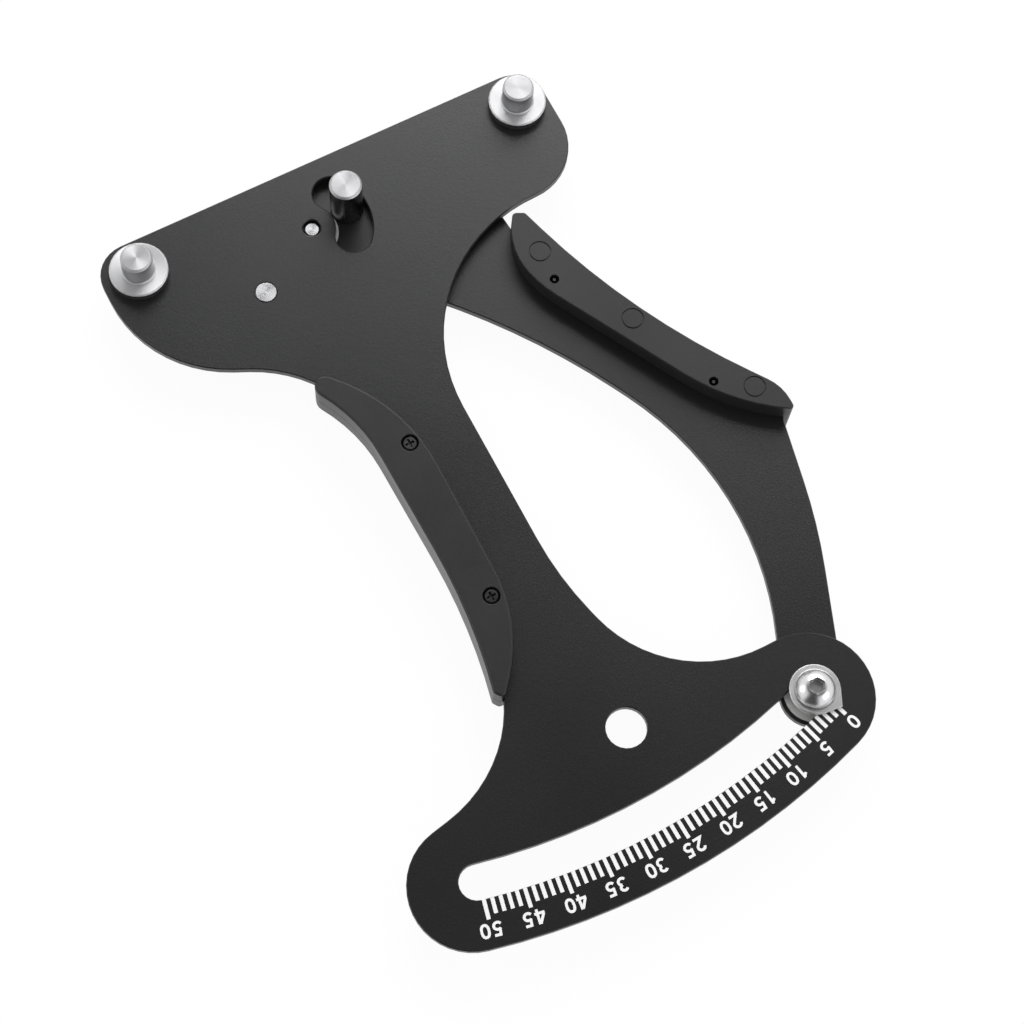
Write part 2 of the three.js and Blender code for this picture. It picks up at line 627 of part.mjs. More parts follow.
function flangedPost(name, place) {
  const tip = stemFasteners(name, place, frameBack) - SEAT;
  const flangeTop = SEAT + POST_FLANGE_THICKNESS;
  piece(name, turned([
    [0, tip],
    [STEM_RADIUS, tip],
    [STEM_RADIUS, SEAT],
    [POST_FLANGE_RADIUS - POST_EDGE, SEAT],
    [POST_FLANGE_RADIUS, SEAT + POST_EDGE],
    [POST_FLANGE_RADIUS, flangeTop - POST_EDGE],
    [POST_FLANGE_RADIUS - POST_EDGE, flangeTop],
    [POST_RADIUS + POST_EDGE, flangeTop],
    [POST_RADIUS, flangeTop + POST_EDGE],
    [POST_RADIUS, POST_TOP - POST_TIP_EDGE],
    [POST_RADIUS - POST_TIP_EDGE, POST_TOP],
    [0, POST_TOP],
  ], place), 'turnedSteel');
}

function movingPost() {
  const tip = stemFasteners('centre_post', centrePost, leverBack) - SEAT;
  const base = leverFront + SEAT;
  piece('centre_post', turned([
    [0, tip],
    [STEM_RADIUS, tip],
    [STEM_RADIUS, base],
    [CENTRE_POST_RADIUS, base],
    [CENTRE_POST_RADIUS, CENTRE_POST_TOP - POST_TIP_EDGE],
    [CENTRE_POST_RADIUS - POST_TIP_EDGE, CENTRE_POST_TOP],
    [0, CENTRE_POST_TOP],
  ], centrePost), 'turnedSteel');
}

function pivotJoint() {
  const flangeTop = leverBack - SEAT;
  const flangeBottom = flangeTop - BUSH_FLANGE_THICKNESS;
  const headTop = flangeBottom - SEAT;
  const headBottom = headTop - PIVOT_HEAD_THICKNESS;
  const bore = PIVOT_RADIUS + FIT;
  const bushTop = spacerBack - SEAT;
  piece('pivot_spacer', ring(bore, PIVOT_SPACER_RADIUS, spacerBack, spacerFront, pivot), 'whiteNylon');
  piece('pivot_bush', turned([
    [bore, flangeBottom],
    [BUSH_FLANGE_RADIUS, flangeBottom],
    [BUSH_FLANGE_RADIUS, flangeTop],
    [bushRadius, flangeTop],
    [bushRadius, bushTop],
    [bore, bushTop],
    [bore, flangeBottom],
  ]), 'bronze');
  const socket = hexPrism(PIVOT_SOCKET_FLATS, headBottom - OVERRUN, headBottom + PIVOT_SOCKET_DEPTH, pivot);
  const pin = turned([
    [0, headBottom],
    [PIVOT_HEAD_RADIUS - POST_EDGE, headBottom],
    [PIVOT_HEAD_RADIUS, headBottom + POST_EDGE],
    [PIVOT_HEAD_RADIUS, headTop],
    [PIVOT_RADIUS, headTop],
    [PIVOT_RADIUS, -PIVOT_RECESS - POST_EDGE],
    [PIVOT_RADIUS - POST_EDGE, -PIVOT_RECESS],
    [0, -PIVOT_RECESS],
  ]);
  piece('pivot_screw', cut(pin, socket), 'polishedSteel');
}

// Each spring pin ends in a collar that keeps the wire's loop on it
function springPins() {
  const collarTop = -SPRING_LEVEL - SPRING_WIRE_RADIUS - SEAT;
  const foot = [
    [0, -REAR_DEPTH],
    [SPRING_PIN_COLLAR_RADIUS, -REAR_DEPTH],
    [SPRING_PIN_COLLAR_RADIUS, collarTop],
    [SPRING_PIN_RADIUS, collarTop],
  ];
  const shoulder = frameBack;
  piece('spring_anchor_pin', turned([
    ...foot,
    [SPRING_PIN_RADIUS, shoulder],
    [ANCHOR_HEAD_RADIUS, shoulder],
    [ANCHOR_HEAD_RADIUS, 0],
    [0, 0],
  ], anchor), 'turnedSteel');
  piece('spring_tail_pin', turned([
    ...foot,
    [SPRING_PIN_RADIUS, leverFront],
    [0, leverFront],
  ], tailPin), 'greySteel');
}

// Centre line of the spring: a loop round one pin, the coils, and a loop round the other
function springLine() {
  const away = tailPin.clone().sub(anchor);
  const length = away.length();
  const loop = SPRING_PIN_RADIUS + SPRING_LOOP_GAP + SPRING_WIRE_RADIUS;
  const coilLength = SPRING_COILS * SPRING_PITCH;
  const start = (length - coilLength) / 2;
  const loopTurns = 14;
  const loopFrom = 0.2 * Math.PI;
  const loopTo = 1.75 * Math.PI;
  const half = [];
  for (let i = 0; i <= loopTurns; i += 1) {
    const angle = loopTo + ((loopFrom - loopTo) * i) / loopTurns;
    half.push(new THREE.Vector3(loop * Math.cos(angle), loop * Math.sin(angle), 0));
  }
  half.push(new THREE.Vector3(loop + (start - loop) / 2, 0, 0));
  const turnSteps = 8;
  const coils = [];
  for (let i = 0; i <= SPRING_COILS * turnSteps; i += 1) {
    const turn = (2 * Math.PI * i) / turnSteps;
    coils.push(new THREE.Vector3(
      start + (SPRING_PITCH * i) / turnSteps,
      SPRING_COIL_RADIUS * Math.sin(turn),
      -SPRING_COIL_RADIUS * Math.cos(turn),
    ));
  }
  const mirrored = half.slice().reverse().map((p) => new THREE.Vector3(length - p.x, -p.y, p.z));
  const spin = away.angle();
  return [...half, ...coils, ...mirrored].map((p) => p
    .applyAxisAngle(new THREE.Vector3(0, 0, 1), spin)
    .add(new THREE.Vector3(anchor.x, anchor.y, -SPRING_LEVEL)));
}

// Tube round a centre line, with flat closed ends, its ring carried along without twist
function wireTube(line, radius, sides) {
  const positions = [];
  const index = [];
  const tangent = (i) => line[Math.min(i + 1, line.length - 1)].clone()
    .sub(line[Math.max(i - 1, 0)]).normalize();
  let normal = new THREE.Vector3(0, 0, 1);
  line.forEach((centre, i) => {
    const along = tangent(i);
    normal = normal.clone().addScaledVector(along, -normal.dot(along)).normalize();
    const side = new THREE.Vector3().crossVectors(along, normal);
    for (let k = 0; k < sides; k += 1) {
      const angle = (2 * Math.PI * k) / sides;
      const corner = centre.clone()
        .addScaledVector(normal, radius * Math.cos(angle))
        .addScaledVector(side, radius * Math.sin(angle));
      positions.push(corner.x, corner.y, corner.z);
    }
  });
  const corner = (i, k) => i * sides + (k % sides);
  for (let i = 0; i + 1 < line.length; i += 1) {
    for (let k = 0; k < sides; k += 1) {
      index.push(corner(i, k), corner(i, k + 1), corner(i + 1, k + 1));
      index.push(corner(i, k), corner(i + 1, k + 1), corner(i + 1, k));
    }
  }
  const last = line.length - 1;
  for (let k = 1; k + 1 < sides; k += 1) {
    index.push(corner(0, 0), corner(0, k + 1), corner(0, k));
    index.push(corner(last, 0), corner(last, k), corner(last, k + 1));
  }
  const geometry = new THREE.BufferGeometry();
  geometry.setAttribute('position', new THREE.Float32BufferAttribute(positions, 3));
  geometry.setIndex(index);
  geometry.computeVertexNormals();
  return geometry;
}

// Least gap of a tube to itself, between points of its line that lie over a few wires apart
function leastGap(line, radius) {
  const apart = line.map((point, i) => (i ? point.distanceTo(line[i - 1]) : 0));
  const travel = apart.map(((sum) => (step) => { sum += step; return sum; })(0));
  let least = Infinity;
  line.forEach((a, i) => line.slice(i + 1).forEach((b, j) => {
    const far = travel[i + 1 + j] - travel[i] > 8 * radius;
    if (far) least = Math.min(least, a.distanceTo(b) - 2 * radius);
  }));
  return least;
}

function returnSpring() {
  const line = springLine();
  console.log(`return_spring least gap ${leastGap(line, SPRING_WIRE_RADIUS).toFixed(2)} mm`);
  piece('return_spring', wireTube(line, SPRING_WIRE_RADIUS, 5), 'springSteel');
}

function teardrop(place, angle) {
  const open = Math.acos(POINTER_RADIUS / POINTER_TIP);
  return [
    ...arc(place, POINTER_RADIUS, angle + open, angle + 2 * Math.PI - open),
    polar(POINTER_TIP, angle).add(place),
  ];
}

function pointerStack() {
  const place = pointerPlace;
  const bore = POINTER_SCREW_RADIUS + FIT;
  const bushingRadius = SCALE_SLOT_WIDTH / 2 - POINTER_INSET - FIT;
  const bushingBore = bushingRadius + FIT;
  const pointerBottom = SEAT;
  const pointerTop = pointerBottom + POINTER_THICKNESS;
  const headBottom = pointerTop + SEAT;
  const headTop = headBottom + POINTER_HEAD_HEIGHT;
  const washerTop = leverBack - SEAT;
  const washerBottom = washerTop - POINTER_WASHER_THICKNESS;
  const nutTop = washerBottom - SEAT;
  const outline = teardrop(place, pointerAngle + POINTER_TURN);
  const arm = slab(outline, [circle(place, bore)], pointerBottom, pointerTop, POINTER_EDGE);
  piece('pointer', arm, 'turnedSteel');
  piece('pointer_bushing', ring(bore, bushingRadius, leverFront + SEAT, 0, place), 'greySteel');
  const spacer = ring(bushingBore, POINTER_SPACER_RADIUS, spacerBack, spacerFront, place);
  piece('pointer_spacer', spacer, 'whiteNylon');
  piece('pointer_washer', ring(bore, POINTER_WASHER_RADIUS, washerBottom, washerTop, place), 'greySteel');
  const nut = slab(hexagon(POINTER_NUT_FLATS, place), [circle(place, bore)], -REAR_DEPTH, nutTop);
  piece('pointer_nut', nut, 'greySteel');

  // Button head: a cap of a ball from its rim to its flat top, with a hexagon socket.
  // `sunk` is how far the ball's centre lies below the head's underside.
  const sunk = (POINTER_HEAD_RADIUS ** 2 + POINTER_HEAD_RIM ** 2 - POINTER_HEAD_FLAT ** 2
    - POINTER_HEAD_HEIGHT ** 2) / (2 * (POINTER_HEAD_HEIGHT - POINTER_HEAD_RIM));
  const ball = Math.hypot(POINTER_HEAD_FLAT, POINTER_HEAD_HEIGHT + sunk);
  const fromAngle = Math.asin(POINTER_HEAD_RADIUS / ball);
  const toAngle = Math.asin(POINTER_HEAD_FLAT / ball);
  const dome = [];
  const domeSteps = 7;
  for (let i = 0; i <= domeSteps; i += 1) {
    const angle = fromAngle + ((toAngle - fromAngle) * i) / domeSteps;
    dome.push([ball * Math.sin(angle), headBottom - sunk + ball * Math.cos(angle)]);
  }
  const screw = turned([
    [0, -REAR_DEPTH + SEAT],
    [POINTER_SCREW_RADIUS, -REAR_DEPTH + SEAT],
    [POINTER_SCREW_RADIUS, headBottom],
    [POINTER_HEAD_RADIUS, headBottom],
    ...dome,
    [0, headTop],
  ], place);
  const socket = hexPrism(POINTER_SOCKET_FLATS, headTop - POINTER_SOCKET_DEPTH, headTop + OVERRUN, place);
  piece('pointer_screw', cut(screw, socket), 'polishedSteel');
}

framePlate();
leverPlate();
grips();
flangedPost('left_post', leftPost);
flangedPost('right_post', rightPost);
movingPost();
pivotJoint();
springPins();
returnSpring();
pointerStack();

// Lies on its back, with the middle of its box over the origin
const extent = new THREE.Box3().setFromObject(meter);
const middle = extent.getCenter(new THREE.Vector3());
meter.position.set(-middle.x, -middle.y, -extent.min.z);

export default meter;
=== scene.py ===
# Looks of a spoke tension meter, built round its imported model. All lengths are in metres.
import json
import math

import bmesh
import bpy
from mathutils import Matrix, Vector
from mathutils.geometry import delaunay_2d_cdt

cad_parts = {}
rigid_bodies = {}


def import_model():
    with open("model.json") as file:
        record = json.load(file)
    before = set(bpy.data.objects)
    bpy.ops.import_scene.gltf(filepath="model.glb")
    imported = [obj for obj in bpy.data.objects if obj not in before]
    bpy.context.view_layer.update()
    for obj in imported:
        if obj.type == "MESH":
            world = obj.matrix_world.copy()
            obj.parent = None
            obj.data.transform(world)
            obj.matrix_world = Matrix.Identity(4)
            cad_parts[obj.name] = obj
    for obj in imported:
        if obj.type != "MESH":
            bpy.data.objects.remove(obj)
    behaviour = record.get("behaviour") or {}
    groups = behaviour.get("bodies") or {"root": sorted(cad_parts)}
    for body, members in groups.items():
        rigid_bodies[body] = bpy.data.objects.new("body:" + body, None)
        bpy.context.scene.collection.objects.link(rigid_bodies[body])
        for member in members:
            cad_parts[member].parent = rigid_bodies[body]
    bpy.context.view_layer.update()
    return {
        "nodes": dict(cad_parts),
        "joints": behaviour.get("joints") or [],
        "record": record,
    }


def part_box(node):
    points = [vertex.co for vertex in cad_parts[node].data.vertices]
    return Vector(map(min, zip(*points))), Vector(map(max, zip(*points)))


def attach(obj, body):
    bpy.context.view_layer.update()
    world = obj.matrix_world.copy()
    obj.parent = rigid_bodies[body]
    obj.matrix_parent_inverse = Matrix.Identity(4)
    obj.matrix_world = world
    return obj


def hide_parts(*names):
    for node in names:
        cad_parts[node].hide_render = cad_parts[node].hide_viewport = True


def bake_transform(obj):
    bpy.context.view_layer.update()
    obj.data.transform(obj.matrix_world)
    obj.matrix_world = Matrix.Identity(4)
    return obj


for thing in list(bpy.data.objects):
    bpy.data.objects.remove(thing, do_unlink=True)

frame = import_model()
nodes = frame["nodes"]
scene = bpy.context.scene
collection = scene.collection

MM = 0.001

# The lever's pivot, on the front face of the frame plate. The scale and the spring are placed from it.
PIVOT = Vector(frame["joints"][0]["pos_m"])
PLATE_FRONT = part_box("frame_plate")[1][2]


# Helpers

def add_mesh(name, vertices, faces, smooth=False):
    mesh = bpy.data.meshes.new(name)
    mesh.from_pydata([tuple(v) for v in vertices], [], faces)
    mesh.validate()
    if smooth:
        mesh.shade_smooth()
    thing = bpy.data.objects.new(name, mesh)
    collection.objects.link(thing)
    return thing


def polar(radius, degrees):
    """A place in the plane of the plates, from the pivot."""
    angle = math.radians(degrees)
    return Vector((PIVOT.x + radius * math.cos(angle), PIVOT.y + radius * math.sin(angle)))


class NodeKit:
    """A short way to add shader or geometry nodes to a tree and link them."""

    def __init__(self, tree):
        self.tree = tree

    def add(self, kind, inputs=None, **settings):
        node = self.tree.nodes.new(kind)
        for key, value in settings.items():
            setattr(node, key, value)
        for key, value in (inputs or {}).items():
            self.give(node.inputs[key], value)
        return node

    def give(self, socket, value):
        """Links the socket where the value is another node's output, and otherwise sets it."""
        if isinstance(value, bpy.types.NodeSocket):
            self.tree.links.new(value, socket)
        else:
            socket.default_value = value

    def math(self, operation, *values):
        node = self.add("ShaderNodeMath", dict(enumerate(values)), operation=operation)
        return node.outputs[0]

    def vector(self, operation, inputs):
        return self.add("ShaderNodeVectorMath", inputs, operation=operation).outputs

    def height(self, place):
        return self.add("ShaderNodeSeparateXYZ", {0: place}).outputs["Z"]

    def spread(self, value, span, result):
        """Takes the value from one range to another, and stops at the range's ends."""
        node = self.add("ShaderNodeMapRange", {
            "Value": value,
            "From Min": span[0], "From Max": span[1],
            "To Min": result[0], "To Max": result[1],
        })
        return node.outputs["Result"]

    def mixed(self, first, second, share=0.5):
        """Adds a share of the first value to the rest of the second."""
        return self.math("MULTIPLY_ADD", first, share, self.math("MULTIPLY", second, 1 - share))

    def noise(self, place, scale, detail=2.0, roughness=0.5):
        node = self.add("ShaderNodeTexNoise", {
            "Vector": place, "Scale": scale, "Detail": detail, "Roughness": roughness,
        })
        return node.outputs["Fac"]

    def colour(self, factor, first, second):
        node = self.add("ShaderNodeMix", data_type="RGBA")
        self.give(node.inputs["Factor"], factor)
        node.inputs["A"].default_value = (*first, 1)
        node.inputs["B"].default_value = (*second, 1)
        return [output for output in node.outputs if output.type == "RGBA"][0]

    def bump(self, height, strength, distance):
        node = self.add("ShaderNodeBump", {
            "Height": height, "Strength": strength, "Distance": distance,
        })
        return node.outputs["Normal"]


def empty_kit(thing):
    """The node kit of a material or world, with no nodes in it yet."""
    thing.use_nodes = True
    thing.node_tree.nodes.clear()
    return NodeKit(thing.node_tree)


# Camera

# The photograph's viewpoint, solved from the tool's arcs, straight edges and posts
CAMERA_PLACE = (-0.129216, -0.188465, 0.62386)
CAMERA_RIGHT = Vector((0.88345, -0.46678, 0.04026))
CAMERA_DOWN = Vector((-0.42771, -0.83861, -0.33735))
CAMERA_FORWARD = Vector((0.19123, 0.28081, -0.94052))
LENS_MM = 84.375
SENSOR_MM = 36.0
CLIP_START = 0.01
CLIP_END = 50.0


def add_camera():
    data = bpy.data.cameras.new("camera")
    data.lens = LENS_MM
    data.sensor_fit = "HORIZONTAL"
    data.sensor_width = SENSOR_MM
    data.clip_start = CLIP_START
    data.clip_end = CLIP_END
    camera = bpy.data.objects.new("camera", data)
    collection.objects.link(camera)
    turn = Matrix((CAMERA_RIGHT, -CAMERA_DOWN, -CAMERA_FORWARD)).transposed()
    camera.matrix_world = Matrix.Translation(CAMERA_PLACE) @ turn.to_4x4()
    scene.camera = camera


add_camera()


# Materials

ZERO_TO_ONE = (0.0, 1.0)

# Parts of a texture's range that are spread out to the whole range
GRAIN_SPAN = (0.3, 0.7)
CLOUD_SPAN = (0.35, 0.65)
RING_SPAN = (0.2, 0.8)

# Scales of textures, per metre. The rings go by the size of the piece instead.
COATING_CLOUD = 14.0
METAL_PATCHES = 160.0
RING_GRAIN = 900.0
RING_SCALE = 26.0
INK_GRAIN = 3000.0

# Depths of what the bumps show at full strength
COATING_DEPTH = 0.03 * MM
METAL_DEPTH = 0.02 * MM
INK_DEPTH = 0.01 * MM

COATING_BUMP = 0.25
METAL_PATCH_SHARE = 0.6
DARKEST_RING = 0.86
FINISH_BLEND = 0.2 * MM

MATERIALS = {}


def new_surface(name):
    material = bpy.data.materials.new(name)
    MATERIALS[name] = material
    kit = empty_kit(material)
    shader = kit.add("ShaderNodeBsdfPrincipled")
    kit.add("ShaderNodeOutputMaterial", {"Surface": shader.outputs[0]})
    return kit, shader.inputs


def coated(name, dark, light, rough, grain, specular, cloud=COATING_CLOUD, bump=COATING_BUMP):
    """A matt coat or plastic: fine grain, faint clouding, roughness that varies a little."""
    kit, shader = new_surface(name)
    place = kit.add("ShaderNodeTexCoord").outputs["Object"]
    fine = kit.noise(place, grain, detail=3.0, roughness=0.6)
    broad = kit.noise(place, cloud, detail=3.0)
    shade = kit.mixed(broad, kit.spread(fine, GRAIN_SPAN, ZERO_TO_ONE))
    kit.give(shader["Base Color"], kit.colour(shade, dark, light))
    kit.give(shader["Roughness"], kit.spread(broad, CLOUD_SPAN, rough))
    kit.give(shader["Normal"], kit.bump(fine, bump, COATING_DEPTH))
    kit.give(shader["Specular IOR Level"], specular)


def turned(name, base, rough, anisotropic, bump, lower_end=0.0, lower_base=None, lower_rough=None):
    """Steel turned on a lathe: rings round the piece's axis, and another finish below a height, in
    roughness and in colour. On the outer posts the end's darker colour is painted shade.
    """
    kit, shader = new_surface(name)
    spot = kit.add("ShaderNodeTexCoord").outputs
    from_middle = kit.add("ShaderNodeMapping", {
        "Vector": spot["Generated"], "Location": (-0.5, -0.5, -0.5),
    })
    wave = kit.add("ShaderNodeTexWave", {
        "Vector": from_middle.outputs[0], "Scale": RING_SCALE,
        "Distortion": 0.6, "Detail": 2.0, "Detail Scale": 3.0,
    }, wave_type="RINGS", rings_direction="Z").outputs["Fac"]
    shade = kit.mixed(wave, kit.noise(spot["Object"], RING_GRAIN))
    ends = (lower_end - FINISH_BLEND, lower_end + FINISH_BLEND)
    upper = kit.spread(kit.height(spot["Object"]), ends, ZERO_TO_ONE)
    colour = kit.colour(upper, lower_base or base, base)
    tone = kit.spread(shade, ZERO_TO_ONE, (DARKEST_RING, 1.0))
    kit.give(shader["Base Color"], kit.vector("SCALE", {0: colour, "Scale": tone})[0])
    lowest, highest = [
        kit.spread(upper, ZERO_TO_ONE, pair) for pair in zip(lower_rough or rough, rough)
    ]
    kit.give(shader["Roughness"], kit.spread(shade, RING_SPAN, (lowest, highest)))
    kit.give(shader["Normal"], kit.bump(wave, bump, METAL_DEPTH))
    tangent = kit.add("ShaderNodeTangent", direction_type="RADIAL", axis="Z")
    kit.give(shader["Tangent"], tangent.outputs[0])
    kit.give(shader["Metallic"], 1.0)
    kit.give(shader["Anisotropic"], anisotropic)


def metal(name, dark, light, rough, grain, bump):
    """Plain metal with fine grain, patches of tone and uneven gloss."""
    kit, shader = new_surface(name)
    place = kit.add("ShaderNodeTexCoord").outputs["Object"]
    fine = kit.noise(place, grain, detail=3.0, roughness=0.6)
    shade = kit.mixed(kit.noise(place, METAL_PATCHES), fine, METAL_PATCH_SHARE)
    tone = kit.spread(shade, GRAIN_SPAN, ZERO_TO_ONE)
    kit.give(shader["Base Color"], kit.colour(tone, dark, light))
    kit.give(shader["Roughness"], kit.spread(shade, GRAIN_SPAN, rough))
    kit.give(shader["Normal"], kit.bump(fine, bump, METAL_DEPTH))
    kit.give(shader["Metallic"], 1.0)


def ink(name, dark, light, rough, bump):
    """White screen-printed ink, a little uneven."""
    kit, shader = new_surface(name)
    place = kit.add("ShaderNodeTexCoord").outputs["Object"]
    fine = kit.noise(place, INK_GRAIN)
    kit.give(shader["Base Color"], kit.colour(fine, dark, light))
    kit.give(shader["Roughness"], kit.spread(fine, GRAIN_SPAN, rough))
    kit.give(shader["Normal"], kit.bump(fine, bump, INK_DEPTH))


# How far down from its top a post has the finish of its end. On the outer posts that end is also painted
# darker than the flange, as painted shade that holds down the key light's glare.
OUTER_POST_END = 0.8 * MM
CENTRE_POST_END = 0.4 * MM


def below_top(node_name, drop):
    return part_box(node_name)[1][2] - drop


def add_materials():
    coated("black_plate", dark=(0.0065, 0.0065, 0.007), light=(0.011, 0.011, 0.0115),
           rough=(0.33, 0.38), grain=1700.0, specular=0.5, bump=0.9)
    coated("black_plastic", dark=(0.016, 0.016, 0.0165), light=(0.025, 0.025, 0.0255),
           rough=(0.34, 0.4), grain=1500.0, specular=0.34, cloud=30.0, bump=0.35)
    coated("white_nylon", dark=(0.5, 0.5, 0.49), light=(0.62, 0.62, 0.61),
           rough=(0.42, 0.52), grain=1500.0, specular=0.5)
    metal("black_steel", dark=(0.03, 0.03, 0.031), light=(0.07, 0.07, 0.072),
          rough=(0.32, 0.45), grain=1500.0, bump=0.2)
    metal("grey_steel", dark=(0.34, 0.34, 0.35), light=(0.48, 0.48, 0.49),
          rough=(0.3, 0.42), grain=1400.0, bump=0.15)
    metal("spring_steel", dark=(0.42, 0.42, 0.42), light=(0.58, 0.58, 0.58),
          rough=(0.22, 0.32), grain=1200.0, bump=0.1)
    metal("blasted_steel", dark=(0.56, 0.56, 0.56), light=(0.68, 0.68, 0.68),
          rough=(0.36, 0.44), grain=2400.0, bump=0.12)
    metal("polished_steel", dark=(0.69, 0.69, 0.7), light=(0.73, 0.73, 0.74),
          rough=(0.25, 0.28), grain=2600.0, bump=0.0)
    metal("bronze", dark=(0.44, 0.28, 0.12), light=(0.6, 0.41, 0.2),
          rough=(0.34, 0.48), grain=1800.0, bump=0.2)
    turned("turned_steel", (0.47, 0.47, 0.48), rough=(0.24, 0.34), anisotropic=0.84, bump=0.16)
    # The outer posts' ends are rougher, and painted darker than their flanges: painted shade against the
    # key light's glare.
    turned("flanged_steel", (0.6, 0.6, 0.61), rough=(0.52, 0.6), anisotropic=0.82, bump=0.12,
           lower_end=below_top("left_post", OUTER_POST_END),
           lower_base=(0.68, 0.68, 0.69), lower_rough=(0.46, 0.58))
    turned("tipped_steel", (0.5, 0.5, 0.51), rough=(0.4, 0.5), anisotropic=0.86, bump=0.16,
           lower_end=below_top("centre_post", CENTRE_POST_END),
           lower_base=(0.47, 0.47, 0.48), lower_rough=(0.24, 0.34))
    ink("white_ink", dark=(0.72, 0.72, 0.72), light=(0.9, 0.9, 0.9), rough=(0.45, 0.65), bump=0.2)


# Pieces with a finish of their own, in place of that of their slot in the record
OWN_MATERIAL = {
    "pointer": "blasted_steel",
    "left_post": "flanged_steel",
    "right_post": "flanged_steel",
    "centre_post": "tipped_steel",
}


def dress(thing, material_name):
    if not thing.material_slots:
        thing.data.materials.append(MATERIALS[material_name])
    for slot in thing.material_slots:
        slot.material = MATERIALS[material_name]


def dress_nodes():
    for part in frame["record"]["subparts"]:
        name = part["node"]
        dress(nodes[name], OWN_MATERIAL.get(name, part["material_slot"]))


add_materials()
dress_nodes()


# Edges of the CAD solids

SHARP_ANGLE = math.radians(32)
FLAT_ANGLE = math.radians(0.05)
MERGE_DISTANCE = 1e-7
BROKEN_STEPS = 2
ROUNDED_STEPS = 3
RIM_DEPTH = 0.8 * MM

# Widths in millimetres, by piece
EDGE_BREAK = {
    "frame_plate": 0.11, "lever_plate": 0.11,
    "frame_grip_front": 0.1, "frame_grip_rear": 0.1,
    "lever_grip_front": 0.1, "lever_grip_rear": 0.1,
    "left_post": 0.09, "right_post": 0.09, "centre_post": 0.09,
    "pivot_screw": 0.07, "spring_anchor_pin": 0.07, "pointer": 0.07,
}
EDGE_BREAK_OTHER = 0.05
RIM_ROUND = {"frame_grip_front": 0.33, "lever_grip_front": 0.16}


def geometry_group(name, build):
    """A node group that gives what the build function makes of the geometry that comes in."""
    tree = bpy.data.node_groups.new(name, "GeometryNodeTree")
    for way in ("INPUT", "OUTPUT"):
        tree.interface.new_socket("Geometry", in_out=way, socket_type="NodeSocketGeometry")
    kit = NodeKit(tree)
    source = kit.add("NodeGroupInput").outputs[0]
    kit.add("NodeGroupOutput", {0: build(kit, source)})
    return tree


def sharp_edges(kit):
    angle = kit.add("GeometryNodeInputMeshEdgeAngle").outputs[0]
    return kit.math("GREATER_THAN", angle, SHARP_ANGLE)


def joined_faces(kit, source):
    """Joins the faces' split corners and makes only true edges sharp."""
    merged = kit.add("GeometryNodeMergeByDistance", {
        "Geometry": source, "Distance": MERGE_DISTANCE,
    })
    return kit.add("GeometryNodeSetMeshNormal", {
        "Mesh": merged.outputs[0], "Remove Custom": True,
        "Edge Sharpness": sharp_edges(kit), "Face Sharpness": False,
    }, mode="SHARPNESS").outputs[0]


def rim_edges(kit, source):
    """Weights the sharp edges near the top of a piece, for its rim to be rounded."""
    top = kit.height(kit.add("GeometryNodeBoundBox", {0: source}).outputs["Max"])
    height = kit.height(kit.add("GeometryNodeInputPosition").outputs[0])
    high = kit.math("GREATER_THAN", height, kit.math("SUBTRACT", top, RIM_DEPTH))
    return kit.add("GeometryNodeStoreNamedAttribute", {
        "Geometry": source, "Name": "bevel_weight_edge",
        "Value": kit.math("MULTIPLY", high, sharp_edges(kit)),
    }, data_type="FLOAT", domain="EDGE").outputs[0]


JOINED_FACES = geometry_group("joined_faces", joined_faces)
RIM_EDGES = geometry_group("rim_edges", rim_edges)


def add_group(thing, group):
    thing.modifiers.new(group.name, "NODES").node_group = group


def add_bevel(thing, name, width, steps, limit):
    bevel = thing.modifiers.new(name, "BEVEL")
    bevel.width = width
    bevel.segments = steps
    bevel.limit_method = limit
    bevel.angle_limit = SHARP_ANGLE
    bevel.harden_normals = True
    bevel.use_clamp_overlap = True


def break_edges(name, thing):
    add_group(thing, JOINED_FACES)
    flat = thing.modifiers.new("flat_faces", "DECIMATE")
    flat.decimate_type = "DISSOLVE"
    flat.angle_limit = FLAT_ANGLE
    if name in RIM_ROUND:
        add_group(thing, RIM_EDGES)
        add_bevel(thing, "rounded_rim", RIM_ROUND[name] * MM, ROUNDED_STEPS, "WEIGHT")
    width = EDGE_BREAK.get(name, EDGE_BREAK_OTHER) * MM
    add_bevel(thing, "broken_edges", width, BROKEN_STEPS, "ANGLE")


# The spring's solid doesn't show, because a round wire replaces it
for node_name, node in nodes.items():
    if node_name != "return_spring":
        break_edges(node_name, node)


# Printed scale

INK_BELOW = 0.01 * MM
INK_ABOVE = 0.03 * MM
TICK_START = 195.95 * MM
TICK_END = 200.1 * MM
TICK_END_FIFTH = 201.2 * MM
TICK_WIDTH = 1.05 * MM
LAST_MARK = 50
NUMBER_STEP = 5

# Angles in degrees. The step from mark to mark grows up to mark EVEN_FROM, and is even from there.
FIRST_ANGLE = -71.84
FIRST_STEP = 0.587
FULL_STEP = 0.6405
EVEN_FROM = 20


def mark_angles():
    angles = [FIRST_ANGLE]
    for i in range(LAST_MARK):
        share = min(i / EVEN_FROM, 1)
        angles.append(angles[-1] - (FIRST_STEP + (FULL_STEP - FIRST_STEP) * share))
    return angles


MARKS = mark_angles()


def printed(name, shapes):
    """Flat closed shapes as thick as ink on the plate's front. Each is its corners and its faces."""
    vertices, faces = [], []
    for corners, flats in shapes:
        low = len(vertices)
        high = low + len(corners)
        for z in (PLATE_FRONT - INK_BELOW, PLATE_FRONT + INK_ABOVE):
            vertices += [(p.x, p.y, z) for p in corners]
        faces += [[low + k for k in reversed(flat)] for flat in flats]
        faces += [[high + k for k in flat] for flat in flats]
        edges = {(flat[k - 1], flat[k]) for flat in flats for k in range(len(flat))}
        rim = sorted((a, b) for a, b in edges if (b, a) not in edges)
        faces += [[low + a, low + b, high + b, high + a] for a, b in rim]
    thing = add_mesh(name, vertices, faces)
    dress(thing, "white_ink")
    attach(thing, "frame")
    return thing


